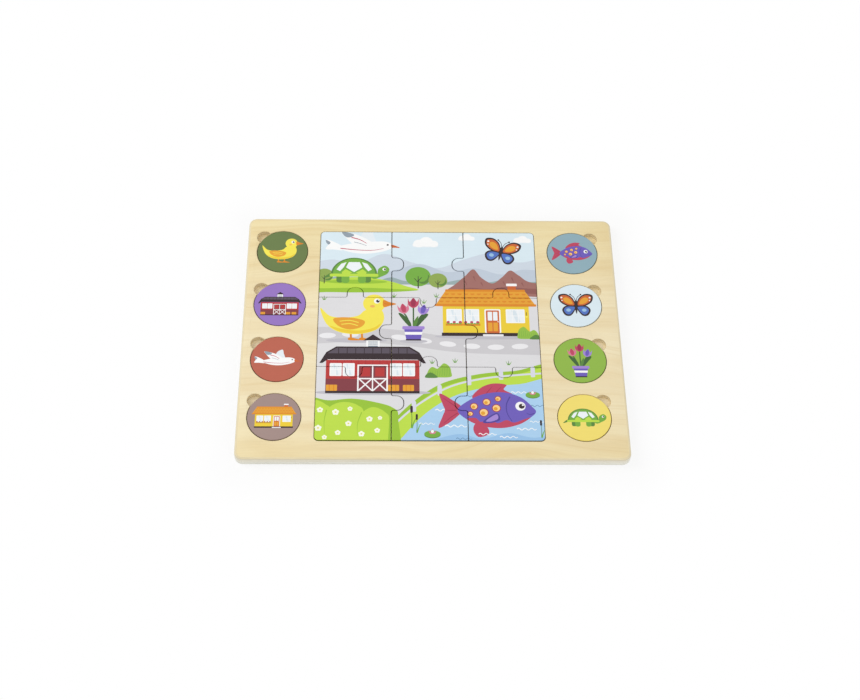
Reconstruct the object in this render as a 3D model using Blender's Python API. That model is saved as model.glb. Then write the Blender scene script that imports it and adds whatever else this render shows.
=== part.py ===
"""Wooden matching puzzle for a small child, in metres, with +Z up.

A tray of two glued boards holds a jigsaw picture of three rows and three columns, with a column
of four round tiles on each side of it. The upper board is cut right through for the picture and
for the tiles, and a finger notch opens off every round pocket, so that its tile can be picked
out. The lower board is the floor of all these cut-outs.

The origin is the middle of the tray's underside. +X runs along the long side and +Y away from
the child. Row 1 of the picture is the far one and column 1 is the left one.
"""

import math

import bmesh
import bpy
from mathutils import Vector

MM = 0.001

# The picture and its pieces
ROWS = 3
COLUMNS = 3
PIECE_WIDTH = 58.6 * MM
TAB_WIDTH = 13.0 * MM
TAB_REACH = 9.6 * MM
TAB_HEAD_RADIUS = 5.6 * MM
TAB_ROOT_RADIUS = 1.6 * MM
PIECE_CORNER_RADIUS = 0.9 * MM
SAW_CUT = 0.5 * MM
PICTURE_CORNER_RADIUS = 3.4 * MM
PICTURE_CLEARANCE = 0.25 * MM

# The round tiles and their pockets
TILES_PER_SIDE = 4
POCKET_RADIUS = 21.0 * MM
TILE_CLEARANCE = 0.5 * MM
NOTCH_RADIUS = 6.1 * MM
NOTCH_ANGLE = math.radians(43.3)

# The wood that is left between the cut-outs and round them
POCKET_BRIDGE = 10.0 * MM
WINDOW_BRIDGE = 9.75 * MM
MARGIN_LEFT = 7.6 * MM
MARGIN_RIGHT = 12.6 * MM
MARGIN_FAR = 13.1 * MM
MARGIN_NEAR = 15.9 * MM

# The boards
BASE_THICKNESS = 4.0 * MM
FRAME_THICKNESS = 4.0 * MM
GLUE_LINE = 0.3 * MM
TRAY_CORNER_RADIUS = 6.5 * MM
TRAY_EDGE_ROUNDING = 1.8 * MM
UNDERSIDE_ROUNDING = 0.8 * MM
SEAT_GAP = 0.3 * MM
FAR_GAP = 0.3 * MM
ROW_NUDGE = 0.15 * MM
COLUMN_NUDGE = 0.1 * MM
TILE_RECESS = 0.3 * MM
EDGE_CHAMFER = 0.4 * MM
RIM_CHAMFER = 0.4 * MM

# How finely the round edges are drawn, and how far a cutter runs past the wood
CHORD_ERROR = 0.04 * MM
ROUNDING_STEPS = 4
CUTTER_OVERRUN = 1.0 * MM

# Sizes that follow from the ones above
TILE_RADIUS = POCKET_RADIUS - TILE_CLEARANCE
POCKET_PITCH = 2 * POCKET_RADIUS + POCKET_BRIDGE
WINDOW_WIDTH = COLUMNS * PIECE_WIDTH + 2 * PICTURE_CLEARANCE
WINDOW_DEPTH = (TILES_PER_SIDE - 1) * POCKET_PITCH + 2 * POCKET_RADIUS
WINDOW_CORNER_RADIUS = PICTURE_CORNER_RADIUS + PICTURE_CLEARANCE
PIECE_DEPTH = (WINDOW_DEPTH - 2 * PICTURE_CLEARANCE) / ROWS
COLUMN_OFFSET = WINDOW_WIDTH / 2 + WINDOW_BRIDGE + POCKET_RADIUS
TRAY_WIDTH = 2 * (COLUMN_OFFSET + POCKET_RADIUS) + MARGIN_LEFT + MARGIN_RIGHT
TRAY_DEPTH = WINDOW_DEPTH + MARGIN_NEAR + MARGIN_FAR
PATTERN_CENTRE = Vector(((MARGIN_LEFT - MARGIN_RIGHT) / 2, (MARGIN_NEAR - MARGIN_FAR) / 2))
FRAME_FLOOR = BASE_THICKNESS + GLUE_LINE
FRAME_TOP = FRAME_FLOOR + FRAME_THICKNESS
SEAT_HEIGHT = BASE_THICKNESS + SEAT_GAP
TILE_THICKNESS = FRAME_TOP - TILE_RECESS - SEAT_HEIGHT
# Every loose piece lies slid to the far side, until it's the far gap from the frame. The picture's
# rows lie nudged together by the row nudge, and its columns apart by the column nudge
PICTURE_SLIDE = PICTURE_CLEARANCE + SAW_CUT / 2 + (ROWS - 1) / 2 * ROW_NUDGE - FAR_GAP
TILE_SLIDE = TILE_CLEARANCE - FAR_GAP

# Colours of the bare wood, of the round tiles and of each row of the picture, in sRGB
FRAME_WOOD = (238, 217, 172)
BASE_WOOD = (226, 216, 190)
LEFT_TILES = ((110, 131, 85), (154, 124, 198), (188, 110, 88), (167, 144, 141))
RIGHT_TILES = ((127, 174, 187), (216, 236, 241), (147, 187, 79), (244, 223, 116))
PICTURE_ROWS = ((204, 226, 238), (186, 201, 150), (150, 190, 214))


def clear_scene():
    """Start from an empty scene."""
    for thing in list(bpy.data.objects):
        bpy.data.objects.remove(thing, do_unlink=True)


def linear(channel):
    """One sRGB channel from 0 to 255 as a linear value."""
    share = channel / 255
    return share / 12.92 if share <= 0.04045 else ((share + 0.055) / 1.055) ** 2.4


def surface(name, colour, roughness):
    """A material of one colour, for bare or printed wood."""
    material = bpy.data.materials.new(name)
    material.use_nodes = True
    shader = material.node_tree.nodes["Principled BSDF"]
    shader.inputs["Base Color"].default_value = (*map(linear, colour), 1.0)
    shader.inputs["Roughness"].default_value = roughness
    shader.inputs["Metallic"].default_value = 0.0
    return material


def steps(radius, turn):
    """How many chords an arc needs to stay within the chord error."""
    step = 2 * math.acos(1 - CHORD_ERROR / max(radius, 2 * CHORD_ERROR))
    return max(2, math.ceil(abs(turn) / step))


def arc(centre, radius, start, turn, count):
    """Points along an arc of count chords, both ends included."""
    angles = [start + turn * k / count for k in range(count + 1)]
    return [centre + radius * Vector((math.cos(a), math.sin(a))) for a in angles]


def round_corner(before, corner, after, radius, inset):
    """The fillet of one corner of an anticlockwise outline whose sides are moved in by inset."""
    way_in = (corner - before).normalized()
    way_out = (after - corner).normalized()
    inner_in = Vector((-way_in.y, way_in.x))
    inner_out = Vector((-way_out.y, way_out.x))
    turn = math.atan2(way_in.x * way_out.y - way_in.y * way_out.x, way_in.dot(way_out))
    side = math.copysign(1, turn)
    point = corner + inset * (inner_in + inner_out) / (1 + inner_in.dot(inner_out))
    bend = max(radius - side * inset, CHORD_ERROR)
    start = point - way_in * bend * math.tan(abs(turn) / 2)
    centre = start + side * bend * inner_in
    first = math.atan2(start.y - centre.y, start.x - centre.x)
    return arc(centre, bend, first, turn, steps(radius, turn))


def filleted(corners):
    """An outline through filleted corners, as a function of how far it is drawn in."""
    def outline(inset):
        points = []
        for k, (corner, radius) in enumerate(corners):
            before = corners[k - 1][0]
            after = corners[(k + 1) % len(corners)][0]
            points += round_corner(before, corner, after, radius, inset)
        return points
    return outline


def rectangle(width, depth, radius):
    """A rectangle with rounded corners round the origin."""
    x, y = width / 2, depth / 2
    return filleted([(Vector(p), radius) for p in ((-x, -y), (x, -y), (x, y), (-x, y))])


def disc(radius):
    """A circle round the origin, its last point left off because it is the first again."""
    def outline(inset):
        full = 2 * math.pi
        return arc(Vector((0, 0)), radius - inset, 0, full, steps(radius, full))[:-1]
    return outline


def pocket(notch_angle):
    """A round pocket with a finger notch, whose circle has its centre on the pocket's rim."""
    rim_steps = steps(POCKET_RADIUS, 2 * math.pi)
    notch_steps = steps(NOTCH_RADIUS, math.pi)

    def outline(inset):
        wide, small = POCKET_RADIUS - inset, NOTCH_RADIUS - inset
        reach = POCKET_RADIUS
        half = math.acos((wide ** 2 + reach ** 2 - small ** 2) / (2 * wide * reach))
        flank = math.pi - math.acos((small ** 2 + reach ** 2 - wide ** 2) / (2 * small * reach))
        notch_centre = reach * Vector((math.cos(notch_angle), math.sin(notch_angle)))
        rim = arc(Vector((0, 0)), wide, notch_angle + half, 2 * (math.pi - half), rim_steps)
        notch = arc(notch_centre, small, notch_angle - flank, 2 * flank, notch_steps)
        return rim[:-1] + notch[:-1]
    return outline


def tab_corners(start, end, tab):
    """The corners that a tab or a socket puts into one side: tab is 1 out, -1 in and 0 none."""
    if tab == 0:
        return []
    along = (end - start).normalized()
    out = Vector((along.y, -along.x)) * tab * TAB_REACH
    half = along * TAB_WIDTH / 2
    middle = (start + end) / 2
    return [
        (middle - half, TAB_ROOT_RADIUS),
        (middle - half + out, TAB_HEAD_RADIUS),
        (middle + half + out, TAB_HEAD_RADIUS),
        (middle + half, TAB_ROOT_RADIUS),
    ]


def piece_outline(row, column):
    """One jigsaw piece. Tabs and sockets take turns over the picture like a chessboard's squares."""
    across = 1 if (row + column) % 2 == 0 else -1
    tabs = (
        -across if row < ROWS - 1 else 0,
        across if column < COLUMNS - 1 else 0,
        -across if row > 0 else 0,
        across if column > 0 else 0,
    )
    x, y = PIECE_WIDTH / 2, PIECE_DEPTH / 2
    cell = [Vector((-x, -y)), Vector((x, -y)), Vector((x, y)), Vector((-x, y))]
    corners = []
    for k, tab in enumerate(tabs):
        outer = tab == 0 and tabs[k - 1] == 0
        start, end = cell[k], cell[(k + 1) % 4]
        corners.append((start, PICTURE_CORNER_RADIUS if outer else PIECE_CORNER_RADIUS))
        corners += tab_corners(start, end, tab)
    return filleted(corners)


def solid(name, outline, levels, material, place=(0, 0, 0), parent=None):
    """A closed solid through one outline drawn at several heights, each with its own inset."""
    shape = bmesh.new()
    rings = []
    for height, inset in levels:
        rings.append([shape.verts.new((x, y, height)) for x, y in outline(inset)])
    shape.faces.new(reversed(rings[0]))
    shape.faces.new(rings[-1])
    for low, high in zip(rings, rings[1:]):
        for k in range(len(low)):
            shape.faces.new((low[k - 1], low[k], high[k], high[k - 1]))
    mesh = bpy.data.meshes.new(name)
    shape.to_mesh(mesh)
    shape.free()
    mesh.materials.append(material)
    mesh.shade_smooth()
    mesh.set_sharp_from_angle(angle=math.radians(30))
    thing = bpy.data.objects.new(name, mesh)
    bpy.context.scene.collection.objects.link(thing)
    thing.location = place
    thing.parent = parent
    return thing


def cut(board, name, outline, place, parent):
    """Cut an outline right through the frame board and take the sharp edge off its rim."""
    low = FRAME_FLOOR - CUTTER_OVERRUN
    flare = RIM_CHAMFER + CUTTER_OVERRUN
    levels = ((low, 0), (FRAME_TOP - RIM_CHAMFER, 0), (FRAME_TOP + CUTTER_OVERRUN, -flare))
    cutter = solid(name, outline, levels, board.data.materials[0], place, parent)
    cutter.hide_render = True
    cutter.display_type = "WIRE"
    boolean = board.modifiers.new(name, "BOOLEAN")
    boolean.operation = "DIFFERENCE"
    boolean.solver = "EXACT"
    boolean.object = cutter


def quarter_round(radius):
    """Rise and inset of each step round a quarter circle, from the side up to the top."""
    angles = [math.pi / 2 * k / ROUNDING_STEPS for k in range(ROUNDING_STEPS + 1)]
    return [(radius * math.sin(a), radius * (1 - math.cos(a))) for a in angles]


def tile_places():
    """Every round tile's side, number, place in the pattern and notch angle."""
    top = (TILES_PER_SIDE - 1) / 2 * POCKET_PITCH
    for side, sign, angle in (("left", -1, math.pi - NOTCH_ANGLE), ("right", 1, NOTCH_ANGLE)):
        for number in range(TILES_PER_SIDE):
            yield side, number, (sign * COLUMN_OFFSET, top - number * POCKET_PITCH), angle


def base_board():
    """The lower board, its underside's edge rounded and its upper edge left square for glue."""
    outline = rectangle(TRAY_WIDTH, TRAY_DEPTH, TRAY_CORNER_RADIUS)
    curve = quarter_round(UNDERSIDE_ROUNDING)
    levels = [(UNDERSIDE_ROUNDING - rise, inset) for rise, inset in reversed(curve)]
    levels.append((BASE_THICKNESS, 0))
    return solid("base_board", outline, levels, surface("base wood", BASE_WOOD, 0.62))


def frame_board(pattern):
    """The upper board, cut right through for the picture, the round tiles and the notches."""
    outline = rectangle(TRAY_WIDTH, TRAY_DEPTH, TRAY_CORNER_RADIUS)
    shoulder = FRAME_TOP - TRAY_EDGE_ROUNDING
    levels = [(FRAME_FLOOR, 0)]
    levels += [(shoulder + rise, inset) for rise, inset in quarter_round(TRAY_EDGE_ROUNDING)]
    board = solid("frame_board", outline, levels, surface("frame wood", FRAME_WOOD, 0.55))
    window = rectangle(WINDOW_WIDTH, WINDOW_DEPTH, WINDOW_CORNER_RADIUS)
    cut(board, "window_cutter", window, (0, 0, 0), pattern)
    for side, number, (x, y), angle in tile_places():
        cut(board, f"pocket_cutter_{side}_{number + 1}", pocket(angle), (x, y, 0), pattern)
    return board


def tile_levels():
    """Heights and insets of a piece that lies in the tray, with its top edge softened."""
    cut_edge = SAW_CUT / 2
    return ((0, cut_edge), (TILE_THICKNESS - EDGE_CHAMFER, cut_edge),
            (TILE_THICKNESS, cut_edge + EDGE_CHAMFER))


def jigsaw_pieces(pattern):
    """The picture's pieces, each let in by half a saw cut so that neighbours keep their gap."""
    for row in range(ROWS):
        for column in range(COLUMNS):
            name = f"puzzle_piece_{row + 1}_{column + 1}"
            x = (column - (COLUMNS - 1) / 2) * (PIECE_WIDTH + COLUMN_NUDGE)
            y = ((ROWS - 1) / 2 - row) * (PIECE_DEPTH - ROW_NUDGE) + PICTURE_SLIDE
            print_ink = surface(f"{name} print", PICTURE_ROWS[row % len(PICTURE_ROWS)], 0.45)
            solid(name, piece_outline(row, column), tile_levels(), print_ink,
                  (x, y, SEAT_HEIGHT), pattern)


def round_tiles(pattern):
    """The round tiles, four down each side of the picture."""
    colours = {"left": LEFT_TILES, "right": RIGHT_TILES}
    levels = ((0, 0), (TILE_THICKNESS - EDGE_CHAMFER, 0), (TILE_THICKNESS, EDGE_CHAMFER))
    for side, number, (x, y), _ in tile_places():
        name = f"round_tile_{side}_{number + 1}"
        shades = colours[side]
        print_ink = surface(f"{name} print", shades[number % len(shades)], 0.45)
        solid(name, disc(TILE_RADIUS), levels, print_ink, (x, y + TILE_SLIDE, SEAT_HEIGHT),
              pattern)


def main():
    clear_scene()
    pattern = bpy.data.objects.new("cut_pattern", None)
    pattern.location = (*PATTERN_CENTRE, 0)
    bpy.context.scene.collection.objects.link(pattern)
    base_board()
    frame_board(pattern)
    jigsaw_pieces(pattern)
    round_tiles(pattern)


main()
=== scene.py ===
"""Looks of a wooden matching puzzle: a tray of two boards, nine jigsaw pieces and eight tiles.

The frame gives every piece its place and size, in metres with +Z up. The prints are drawn in
millimetres and cut into the wood's own surface, so that each ink has a clean edge.
"""

import math

import bpy
from bpy.props import FloatProperty, FloatVectorProperty, IntProperty, PointerProperty
from mathutils import Matrix, Vector
from mathutils.geometry import delaunay_2d_cdt


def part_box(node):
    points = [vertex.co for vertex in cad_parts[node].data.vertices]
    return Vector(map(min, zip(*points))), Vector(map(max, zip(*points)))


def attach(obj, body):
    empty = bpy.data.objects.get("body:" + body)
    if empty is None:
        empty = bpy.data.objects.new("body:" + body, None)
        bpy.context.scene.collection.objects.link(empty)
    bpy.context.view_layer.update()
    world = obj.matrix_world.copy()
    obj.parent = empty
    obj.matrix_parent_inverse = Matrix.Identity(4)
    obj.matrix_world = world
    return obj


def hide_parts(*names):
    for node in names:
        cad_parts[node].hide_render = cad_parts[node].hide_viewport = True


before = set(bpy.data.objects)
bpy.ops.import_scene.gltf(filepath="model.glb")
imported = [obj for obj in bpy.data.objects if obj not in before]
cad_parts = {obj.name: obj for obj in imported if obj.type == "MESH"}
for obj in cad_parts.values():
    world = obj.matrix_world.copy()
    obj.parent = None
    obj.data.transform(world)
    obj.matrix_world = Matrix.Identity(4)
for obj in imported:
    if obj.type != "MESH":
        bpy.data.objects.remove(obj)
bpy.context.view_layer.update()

bl_info = {
    "name": "Wooden Matching Puzzle",
    "version": (1, 0, 0),
    "blender": (4, 5, 0),
    "location": "View3D > Sidebar > Puzzle",
    "description": "Dresses a tray puzzle of printed jigsaw pieces and round picture tiles",
    "category": "Object",
}

MM = 0.001

# The tray's levels, read from the frame
TRAY_LOW, BASE_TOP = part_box("base_board")
FRAME_LOW, TRAY_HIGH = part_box("frame_board")

# What lies in the tray, and how high its printed faces are
PICTURE_NODES = sorted(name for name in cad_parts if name.startswith("puzzle_piece"))
TILE_NODES = sorted(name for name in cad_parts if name.startswith("round_tile"))
PRINT_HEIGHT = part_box(TILE_NODES[0])[1].z

# The boards' plies from the lowest up, and the glue between two of them, in millimetres
FRAME_PLIES = (0.6, 0.9, 1.0, 0.9, 0.6)
BASE_PLIES = (0.9, 2.2, 0.9)
GLUE_LINE = 0.1

# Heights, and points, that are nearer to each other than this are the same
SAME_HEIGHT = 0.01 * MM
SAME_POINT = 0.001 * MM

# How far a face's normal points up, of 1: at least this on a level face, at most this on the
# steep part of a rounding, and at least this on a rim, where a wall has less
LEVEL = 0.99
STEEP = 0.8
RIM = 0.5
SMOOTH_ANGLE = math.radians(35)
SENSOR_WIDTH = 36

# The material slots of a loose piece, and those of a board
PRINT, WALL, BACK = 0, 1, 2
VENEER, EDGE, CUT_OUT = 0, 1, 2

# How the inks are drawn and cut: the layer that holds their colours, the steps between two
# points of a curve and, in millimetres, how far an oval may be off and how near two points merge
INK_LAYER = "ink"
SPAN_STEPS = 7
CURVE_ERROR = 0.03
WELD = 0.0001

# A Mix node's colour sockets share their names with others, so they go by their numbers
SHARE, UNDER, OVER, MIXED = 0, 6, 7, 2


def linear(code):
    """A colour's linear values from its sRGB hex value."""
    shares = [int(code[k:k + 2], 16) / 255 for k in (1, 3, 5)]
    return (*(s / 12.92 if s <= 0.04045 else ((s + 0.055) / 1.055) ** 2.4 for s in shares), 1.0)


def colour(name, code, description):
    """A colour that the user can change."""
    return FloatVectorProperty(name=name, description=description, default=linear(code), size=4,
                               min=0.0, max=1.0, subtype="COLOR")


def length(name, millimetres, description, least=0.0):
    """A length that the user can change."""
    return FloatProperty(name=name, description=description, default=millimetres * MM, min=least,
                         precision=5, unit="LENGTH")


def angle(name, degrees, description):
    """An angle that the user can change."""
    return FloatProperty(name=name, description=description, default=math.radians(degrees),
                         unit="ROTATION")


def share(name, default, description):
    """A share of the whole that the user can change."""
    return FloatProperty(name=name, description=description, default=default, min=0.0, max=1.0)


def place(name, millimetres, description):
    """A point that the user can move."""
    return FloatVectorProperty(name=name, description=description, size=3, subtype="TRANSLATION",
                               default=tuple(each * MM for each in millimetres), unit="LENGTH")


# Every ink of the prints: its colour and where it is used
INKS = {
    "sky": ("#DDEDF5", "Pale sky"),
    "haze": ("#D2DCE7", "Farthest hills"),
    "hill": ("#C4CFDC", "Nearer hills"),
    "wood": ("#9CB0B0", "Woods in the distance"),
    "gravel": ("#E1E0E2", "Gravel yard"),
    "paving": ("#D0CED1", "Paved way"),
    "stone": ("#EFEEF0", "Stepping stones"),
    "shadow": ("#C3C1C8", "Shadows on the ground"),
    "soil": ("#A4726B", "Bare earth mounds"),
    "soil_dark": ("#93605B", "Furrows in the earth"),
    "lime": ("#C0E04F", "Meadow and hedge in the light"),
    "lime_dark": ("#9CC63F", "Meadow and hedge in the shade"),
    "leaf_bright": ("#98C24D", "Clipped bushes"),
    "leaf": ("#79B048", "Leaves"),
    "leaf_dark": ("#5F8A45", "Leaves in the shade"),
    "moss": ("#93AB58", "Small trees"),
    "forest": ("#47683D", "Stems and long leaves"),
    "lemon": ("#F7E85A", "Duck"),
    "yellow": ("#EFD03F", "Cottage wall and duck's belly"),
    "honey": ("#E4BE45", "Shade under the cottage eaves"),
    "amber": ("#E9A53B", "Roof tiles, straw and wing"),
    "amber_pale": ("#FFD48E", "Spots on the fish"),
    "orange": ("#E08C2F", "Roof edges, beak and feet"),
    "rust": ("#CF6A3A", "Door, chimney and butterfly"),
    "red": ("#BC403F", "Barn wall"),
    "maroon": ("#87434A", "Barn doors and lower wall"),
    "maroon_soft": ("#A63A3D", "Joints between the barn's boards"),
    "crimson": ("#C14C66", "Fins and flowers"),
    "crimson_dark": ("#A03A55", "Lines on the fins"),
    "pink": ("#DC7F98", "Pale flowers"),
    "blush": ("#F3B565", "Duck's cheek"),
    "violet": ("#7262BC", "Fish and flower pot"),
    "violet_dark": ("#54499A", "Lines on the fish"),
    "lilac": ("#A78BD6", "Pot's rim and fin"),
    "blue": ("#5878C4", "Butterfly's lower wings"),
    "glass": ("#9CC3E4", "Spots on the lower wings"),
    "water": ("#AED3F1", "Pond"),
    "water_deep": ("#9CC5EA", "Deep part of the pond"),
    "water_line": ("#6E93B4", "Dark ripples"),
    "pane": ("#F1F6F9", "Window panes"),
    "pane_shade": ("#DDE9F0", "Reflections in the panes"),
    "cloud_shade": ("#E9F0F5", "Undersides of the clouds"),
    "white": ("#FCFCFB", "White paint, clouds and bird"),
    "petal": ("#FBFCEB", "Hedge flowers"),
    "petal_eye": ("#E9E07A", "Middles of the hedge flowers"),
    "fence": ("#DCDDE9", "Picket fence"),
    "steel": ("#97A3AE", "Louvres and wing tips"),
    "slate": ("#5E5560", "Barn roof in the light"),
    "umber": ("#3A2F33", "Dark outlines and barn roof"),
    "tile_moss": ("#6D7F4E", "Ground of left tile 1"),
    "tile_lilac": ("#9979C3", "Ground of left tile 2"),
    "tile_brick": ("#BD6855", "Ground of left tile 3"),
    "tile_taupe": ("#A58E88", "Ground of left tile 4"),
    "tile_mist": ("#93B1BC", "Ground of right tile 1"),
    "tile_pale": ("#DEEDF4", "Ground of right tile 2"),
    "tile_leaf": ("#94BA4E", "Ground of right tile 3"),
    "tile_straw": ("#F6E176", "Ground of right tile 4"),
}


class InkColours(bpy.types.PropertyGroup):
    """The inks of the picture and the tiles."""

    __annotations__ = {
        ink: colour(ink.replace("_", " ").capitalize(), code, use)
        for ink, (code, use) in INKS.items()
    }


class WoodColours(bpy.types.PropertyGroup):
    """The colours of the basswood plywood."""

    veneer: colour("Veneer", "#F4E6C0", "Pale wood between the streaks")
    streak: colour("Streaks", "#EDDAAF", "Soft tan clouds of the growth rings")
    vein: colour("Veins", "#E1C998", "Faint lines of single growth rings")
    heart: colour("Heart tint", "#FCF9E9", "Deeper tone of the veneer near the long sides")
    edge_face: colour("Face ply", "#E9DAB3", "Rounded edge of the upper veneer")
    edge_upper: colour("Upper ply", "#DED5BC", "The ply under the upper veneer")
    edge_long: colour("Long ply", "#EBE7D8", "Plies whose grain runs along the edge")
    edge_end: colour("End ply", "#E4DCC7", "Plies that show their end grain")
    base_veneer: colour("Base veneer", "#FFF0CE", "Paler wood of the lower board")
    base_streak: colour("Base streaks", "#FDEBC4", "Tan clouds of the lower board")
    base_vein: colour("Base veins", "#F5E1B6", "Faint growth rings of the lower board")
    base_long: colour("Base long ply", "#ECEBDF", "Paler plies of the lower board")
    base_end: colour("Base end ply", "#E8E6D9", "End grain of the lower board")
    routed_long: colour("Routed long ply", "#F3E2B9", "Plies in the walls of the cut-outs")
    # Painted shade: the top two plies of the cut-outs' walls take this darker tone, for the shadow
    # that falls just under the rim
    routed_top_shade: colour("Routed end ply", "#DEC698", "Darker end grain near the top of those walls")
    glue: colour("Glue line", "#BFA980", "Thin line between two plies")
    burnt: colour("Burnt wall", "#6A5F53", "Laser-cut walls of the loose pieces")
    charred: colour("Charred wall", "#3F3832", "Darkest marks on those walls")


class PieceShape(bpy.types.PropertyGroup):
    """The softened edges of the printed pieces."""

    rim_radius: length("Rim radius", 0.45, "Rounding of a piece's upper edge")
    rim_steps: IntProperty(name="Rim steps", description="Faces across that rounding", default=3,
                           min=1, max=8)
    rim_land: length("Rim land", 0.1, "Flat ring inside the rounding that keeps the top flat")
    foot_radius: length("Foot radius", 0.2, "Bevel of a piece's lower edge")
    tile_sides: IntProperty(name="Tile sides", description="Facets round a tile", default=96,
                            min=24, max=256)
    print_slope: share("Print slope", 0.2, "Least upward tilt of a face that still holds print")
    rim_scorch: share("Rim scorch", 0.1, "How much the cut has browned the steep part of the rim")
    ink_run: length("Ink run", 1.0, "How far below the printed face the band of ink ends")


class CameraSettings(bpy.types.PropertyGroup):
    """The camera, which looks down on the tray from the child's side."""

    lens: FloatProperty(name="Focal length", description="On a sensor 36 mm wide", default=62.7,
                        min=1.0, unit="CAMERA")
    distance: length("Distance", 1186.8, "From the middle of the tray's top")
    azimuth: angle("Azimuth", -2.78, "How far the camera stands to the right of the middle")
    elevation: angle("Elevation", 57.39, "How far the camera looks down")
    roll: angle("Roll", 2.59, "How far the camera is turned round its view")
    aside: length("Aside", 1.44, "Tray's middle right of the view's middle", least=-1.0)
    above: length("Above", -13.25, "Tray's middle above the view's middle", least=-1.0)


class StudioSettings(bpy.types.PropertyGroup):
    """The pale floor and the soft light."""

    ambient: share("Ambient light", 0.75, "Light from all round, as a share of full white")
    key: share("Key light", 0.178, "Overhead lamp's light on the tray, as a share of white")
    key_place: place("Key lamp", (-1200, 300, 1000), "Middle of the overhead lamp")
    key_side: length("Key lamp side", 900, "Side of the square overhead lamp")
    fill: share("Fill light", 0.055, "Front lamp's light on the tray, as a share of white")
    fill_place: place("Fill lamp", (1100, -1200, 650), "Middle of the front lamp")
    fill_side: length("Fill lamp side", 1200, "Side of the square front lamp")
    floor_side: length("Floor side", 16000, "Side of the floor")
    floor_drop: length("Floor drop", 0.05, "Gap between the floor and the tray's underside")
    floor_white: share("Floor white", 0.78, "Plain white in the floor beside the tray")
    floor_fade: length("Floor fade", 40, "From the tray to where the floor is all plain white")


class PuzzleSettings(bpy.types.PropertyGroup):
    """Everything that the panel shows."""

    inks: PointerProperty(type=InkColours)
    wood: PointerProperty(type=WoodColours)
    shape: PointerProperty(type=PieceShape)
    camera: PointerProperty(type=CameraSettings)
    studio: PointerProperty(type=StudioSettings)


def settings():
    """The scene's own settings."""
    return bpy.context.scene.matching_puzzle


def node(tree, kind, links=None, stops=None, stepped=False, **values):
    """Adds a shader node, sets its values, ramp and inputs, and gives back its outputs."""
    made = tree.nodes.new("ShaderNode" + kind)
    for name, value in values.items():
        setattr(made, name, value)
    if stops:
        made.color_ramp.interpolation = "CONSTANT" if stepped else "LINEAR"
        ramp = made.color_ramp.elements
        while len(ramp) < len(stops):
            ramp.new(1.0)
        for element, (position, shade) in zip(ramp, stops):
            element.position = position
            element.color = shade if hasattr(shade, "__len__") else (shade, shade, shade, 1.0)
    for socket, value in (links or {}).items():
        if isinstance(value, bpy.types.NodeSocket):
            tree.links.new(value, made.inputs[socket])
        else:
            made.inputs[socket].default_value = value
    return made.outputs


def new_material(name):
    """An empty material with its node tree."""
    material = bpy.data.materials.new(name)
    material.use_nodes = True
    material.node_tree.nodes.clear()
    return material, material.node_tree


def stretched(tree, grain_x, grain_y, grain_z, turn=0.0, bent=None):
    """Coordinates in which one unit is one grain, its three sizes given in millimetres.

    They are Object coordinates, or bent ones that another node has made of them.
    """
    return node(tree, "Mapping", {
        "Vector": node(tree, "TexCoord")["Object"] if bent is None else bent,
        "Rotation": (0.0, 0.0, math.radians(turn)),
        "Scale": (1 / (grain_x * MM), 1 / (grain_y * MM), 1 / (grain_z * MM)),
    })["Vector"]


def finish_material(tree, base, roughness, bump, bump_height, specular=0.5):
    """The Principled shader of a matt wooden surface, with its bump, as the tree's output."""
    relief = node(tree, "Bump", {
        "Height": bump, "Strength": 0.5, "Distance": bump_height * MM,
    })
    shader = node(tree, "BsdfPrincipled", {
        "Base Color": base, "Roughness": roughness, "IOR": 1.45,
        "Specular IOR Level": specular, "Normal": relief["Normal"],
    })
    node(tree, "OutputMaterial", {"Surface": shader["BSDF"]})


def finish_fibrous(tree, base, fibres, shades, roughness, bump_height):
    """Bare wood: its fibres shade the base colour, vary the gloss and stand up a little."""
    shade = node(tree, "ValToRGB", {"Fac": fibres}, stops=((0.3, shades[0]), (0.7, shades[1])))
    shaded = node(tree, "Mix", {
        SHARE: 1.0, UNDER: base, OVER: shade["Color"],
    }, data_type="RGBA", blend_type="MULTIPLY")
    gloss = node(tree, "MapRange", {
        "Value": fibres, "To Min": roughness[0], "To Max": roughness[1],
    })
    finish_material(tree, shaded[MIXED], gloss["Result"], fibres, bump_height)


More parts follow.
